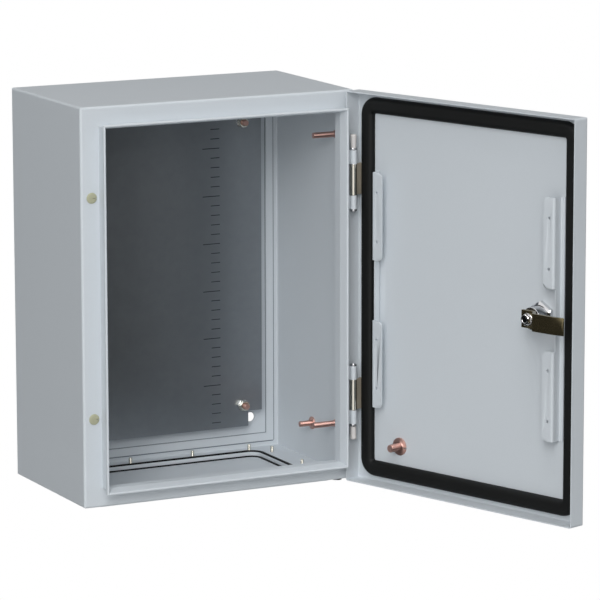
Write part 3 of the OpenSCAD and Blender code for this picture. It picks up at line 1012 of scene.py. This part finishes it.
@dataclass
class CamLock:
    """Quarter-turn lock: chromed housing and nut on the door, core, cam and bolt that turn."""

    nut_across: float = 27.0
    nut_height: float = 5.5
    nut_bore: float = 11.05
    bolt_across: float = 10.0
    bolt_height: float = 4.0
    bolt_radius: float = 3.0
    washer_bore: float = 3.05
    washer_height: float = 0.8
    washer_radius: float = 6.2
    housing_ease: float = 0.3
    core_ease: float = 0.2
    cam_ease: float = 0.3
    smooth_deg: float = 28.0

    def build(self) -> None:
        """Build the nut, washer and bolt head, ease the other pieces and finish them all."""
        axis = shut_point(joint("lock_turn")["pos_m"])
        eased_copy("lock_housing", Body.DOOR, CHROME, self.housing_ease, "housing_chromed")
        eased_copy("lock_core", Body.LOCK, DIE_CAST, self.core_ease, "core_cast")
        eased_copy("lock_cam", Body.LOCK, OLIVE, self.cam_ease, "cam_pressed")
        self.nut(axis)
        self.bolt(axis)

    def nut(self, axis: Vector) -> None:
        """Build the lock nut: a hexagon whose corners run out in a wide conical chamfer.

        Args:
            axis: a point of the lock's axis on the door sheet, in the shut door's millimetres.
        """
        peak = self.nut_across / 2 / math.cos(TAU / 12)
        bore, top = self.nut_bore, self.nut_height
        profile = [(bore, 0.0), (peak - 0.6, 0.0), (peak, 0.4), (peak, top - 2.1)]
        profile += [(peak - 0.8, top - 1.5), (peak - 3.4, top - 0.1), (peak - 3.8, top)]
        profile += [(bore + 0.5, top), (bore, top - 0.5), (bore, 0.0)]
        place = along(door_place(), axis, (0, 1, 0))
        surface = Surface().grid(hexagon(self.nut_across, profile, steps=96), place)
        made = surface.piece("lock_nut_forged", CHROME, self.smooth_deg)
        settle(made, Body.DOOR, CHROME, "lock_nut")

    def bolt(self, axis: Vector) -> None:
        """Build the washer and the bolt with its chamfered, slightly dished head.

        Args:
            axis: a point of the lock's axis on the door sheet, in the shut door's millimetres.
        """
        depths = [shut_point(v.co).y - axis.y for v in frame["nodes"]["cam_bolt"].data.vertices]
        foot, crown = min(depths), max(depths)
        seat = crown - self.bolt_height
        place = along(door_place(), axis, (0, 1, 0))
        bore, edge, low = self.washer_bore, self.washer_radius, seat - self.washer_height
        ring = [(bore, low), (edge - 0.2, low), (edge, low + 0.2), (edge, seat - 0.2), (edge - 0.2, seat)]
        ring += [(bore, seat), (bore, low)]
        washer = Surface().grid(turned(ring, steps=72), place)
        made = washer.piece("cam_washer_ring", CHROME, self.smooth_deg)
        settle(made, Body.LOCK, CHROME, "cam_washer")
        radius, flat = self.bolt_radius, self.bolt_across / 2
        peak = flat / math.cos(TAU / 12)
        under = [(radius, seat), (flat - 0.1, seat)]
        shank = [(0.0, foot), (2.6, foot), (radius, foot + 0.4)] + under
        head = [(peak, seat + 0.3), (peak, crown - 0.9), (peak - 0.3, crown - 0.7)]
        head += [(flat - 0.3, crown - 0.05), (flat - 0.7, crown)]
        head += [(3.3, crown), (2.9, crown - 0.25), (0.0, crown - 0.3)]
        bolt = Surface().grid(turned(shank, steps=96), place)
        bolt.grid(hexagon(self.bolt_across, under + head, steps=96), place)
        made = bolt.piece("cam_bolt_forged", CHROME, self.smooth_deg)
        settle(made, Body.LOCK, CHROME, "cam_bolt")


# ---------------------------------------------------------------- studio


@dataclass
class Camera:
    """Long lens from the front left and a little above; right and up are its own directions."""

    place: tuple[float, float, float] = (-1.67621, -3.66073, 0.71747)
    right: tuple[float, float, float] = (0.89214, -0.45176, -0.00178)
    up: tuple[float, float, float] = (0.08421, 0.16242, 0.98312)
    lens: float = 237.05

    def build(self) -> None:
        """Create the camera and make it the scene's."""
        data = bpy.data.cameras.new("product_camera")
        data.lens = self.lens
        data.sensor_width = 36.0
        data.clip_end = 200.0
        made = bpy.data.objects.new("product_camera", data)
        right = Vector(self.right).normalized()
        up = Vector(self.up).normalized()
        back = right.cross(up).normalized()
        up = back.cross(right)
        turn = Matrix((right, up, back)).transposed().to_4x4()
        made.matrix_world = Matrix.Translation(self.place) @ turn
        bpy.context.scene.collection.objects.link(made)
        bpy.context.scene.camera = made


@dataclass(frozen=True)
class SoftBox:
    """A rectangular studio lamp aimed at a point of the object."""

    name: str
    place: tuple[float, float, float]
    target: tuple[float, float, float]
    size: tuple[float, float]
    watts: float

    def build(self) -> None:
        """Create the lamp and aim it."""
        data = bpy.data.lights.new(self.name, "AREA")
        data.shape = "RECTANGLE"
        data.size, data.size_y = self.size
        data.energy = self.watts
        made = bpy.data.objects.new(self.name, data)
        made.location = self.place
        aim = Vector(self.target) - Vector(self.place)
        made.rotation_euler = aim.to_track_quat("-Z", "Y").to_euler()
        bpy.context.scene.collection.objects.link(made)


MIDDLE = (0.0, -0.1, 0.0)
SOFT_BOXES = (
    SoftBox("key_front", (-2.6, -4.6, 3.0), MIDDLE, (2.6, 2.6), 127.0),
    SoftBox("key_left", (-3.8, -4.0, 1.2), MIDDLE, (2.4, 2.4), 61.0),
    SoftBox("high", (-1.5, -3.0, 5.0), MIDDLE, (2.4, 2.4), 60.0),
    SoftBox("top", (0.0, -0.5, 5.0), MIDDLE, (2.4, 2.4), 54.0),
    SoftBox("front", (0.0, -5.5, 1.0), MIDDLE, (2.4, 2.4), 16.0),
    SoftBox("side_left", (-5.0, -1.0, 1.5), MIDDLE, (2.4, 2.4), 4.0),
    SoftBox("fill_right", (2.5, -4.5, 0.8), MIDDLE, (2.4, 2.4), 14.0),
)


@dataclass(frozen=True)
class Flag:
    """A black card that only mirrors see: it gives bare metal its dark side."""

    name: str
    place: tuple[float, float, float]
    target: tuple[float, float, float]
    size: tuple[float, float]
    shade: str

    def build(self) -> None:
        """Create the card, square to the line to its target."""
        x, z = self.size[0] / 2, self.size[1] / 2
        corners = np.array([[[-x, -z, 0], [x, -z, 0]], [[-x, z, 0], [x, z, 0]]], float)
        aim = (Vector(self.target) - Vector(self.place)).to_track_quat("-Z", "Y").to_matrix().to_4x4()
        surface = Surface().grid(corners, Matrix.Translation(Vector(self.place)) @ aim)
        mesh = surface.mesh(self.name)
        black = bpy.data.materials.new(self.name)
        black.use_nodes = True
        black.node_tree.nodes.clear()
        dull = add_node(
            black.node_tree, "ShaderNodeEmission", inputs={"Color": linear(self.shade), "Strength": 1.0}
        )
        add_node(black.node_tree, "ShaderNodeOutputMaterial", inputs={"Surface": dull.outputs[0]})
        mesh.materials.append(black)
        made = bpy.data.objects.new(self.name, mesh)
        made.visible_camera = False
        made.visible_diffuse = False
        made.visible_shadow = False
        bpy.context.scene.collection.objects.link(made)


FLAG_BLACK = "#101112"
FLAGS = (
    Flag("flag_front_right", (1.2, -2.7, -0.5), (0.0, 0.0, 0.0), (2.6, 2.8), FLAG_BLACK),
    Flag("flag_left_rear", (-2.4, 1.2, -0.5), (0.2, -0.3, 0.0), (3.0, 2.6), FLAG_BLACK),
    Flag("flag_right", (2.8, 0.2, 0.0), (0.0, 0.0, 0.0), (4.0, 3.2), FLAG_BLACK),
    Flag("flag_rear", (0.4, 2.8, 0.0), (0.0, 0.0, 0.0), (4.0, 3.2), FLAG_BLACK),
    Flag("flag_floor", (0.3, -0.4, -1.2), (0.3, -0.39, 0.0), (4.5, 4.5), "#181a1b"),
)


@dataclass
class Studio:
    """Pale floor and an even white surround."""

    floor_drop: float = 1.3
    floor_radius: float = 40.0
    ambient: float = 0.06

    def build(self) -> None:
        """Create the floor, the lamps and the surround."""
        self.floor()
        for lamp in SOFT_BOXES:
            lamp.build()
        for card in FLAGS:
            card.build()
        self.surround()

    def floor(self) -> None:
        """Lay the floor, a flat disc that camera and mirror rays see white."""
        made = bpy.data.materials.new("studio_floor")
        made.use_nodes = True
        tree = made.node_tree
        tree.nodes.clear()
        matt = add_node(tree, "ShaderNodeBsdfDiffuse", inputs={"Color": linear("#e9ebec")})
        white = add_node(tree, "ShaderNodeEmission", inputs={"Color": (1, 1, 1, 1), "Strength": 1.0})
        mixed = add_node(
            tree, "ShaderNodeMixShader", inputs={0: self.seen(tree), 1: matt.outputs[0], 2: white.outputs[0]}
        )
        add_node(tree, "ShaderNodeOutputMaterial", inputs={"Surface": mixed.outputs[0]})
        disc = turned([(0.0, 0.0), (self.floor_radius, 0.0)], steps=64)
        mesh = Surface().grid(disc, wrap_v=True).mesh("studio_floor")
        floor = bpy.data.objects.new("studio_floor", mesh)
        floor.location = (0.0, 0.0, -self.floor_drop)
        mesh.materials.append(made)
        bpy.context.scene.collection.objects.link(floor)

    @staticmethod
    def seen(tree: bpy.types.NodeTree) -> bpy.types.NodeSocket:
        """Return 1 for rays from the camera, from mirrors and through glass, and 0 for light."""
        path = add_node(tree, "ShaderNodeLightPath")
        first = add_node(
            tree,
            "ShaderNodeMath",
            {"operation": "MAXIMUM"},
            {0: path.outputs["Is Camera Ray"], 1: path.outputs["Is Glossy Ray"]},
        )
        both = add_node(
            tree,
            "ShaderNodeMath",
            {"operation": "MAXIMUM"},
            {0: first.outputs[0], 1: path.outputs["Is Transmission Ray"]},
        )
        return both.outputs[0]

    def surround(self) -> None:
        """Set the world: white where it is seen, soft and low where it lights."""
        world = bpy.data.worlds.new("studio")
        world.use_nodes = True
        tree = world.node_tree
        tree.nodes.clear()
        soft = add_node(
            tree, "ShaderNodeBackground", inputs={"Color": linear("#f2f6fa"), "Strength": self.ambient}
        )
        white = add_node(tree, "ShaderNodeBackground", inputs={"Color": (1, 1, 1, 1), "Strength": 1.0})
        mixed = add_node(
            tree, "ShaderNodeMixShader", inputs={0: self.seen(tree), 1: soft.outputs[0], 2: white.outputs[0]}
        )
        add_node(tree, "ShaderNodeOutputWorld", inputs={"Surface": mixed.outputs[0]})
        bpy.context.scene.world = world


def main() -> None:
    """Build the studio, the finishes and every sub-assembly, in order."""
    logging.basicConfig(level=logging.INFO, format="%(name)s: %(message)s")
    bpy.context.scene.view_settings.view_transform = "Standard"
    Camera().build()
    Studio().build()
    for body, nodes in CARRIED.items():
        for node, finish in nodes.items():
            refinish(node, body, finish)
    MountingPlate().build()
    WeldedStuds().build()
    FlangePlugs().build()
    GlandScrews().build()
    BondBolt().build()
    PaintedSeamShadows().build()
    Hinges().build()
    DoorGasket().build()
    Rails().build()
    CamLock().build()


if __name__ == "__main__":
    main()
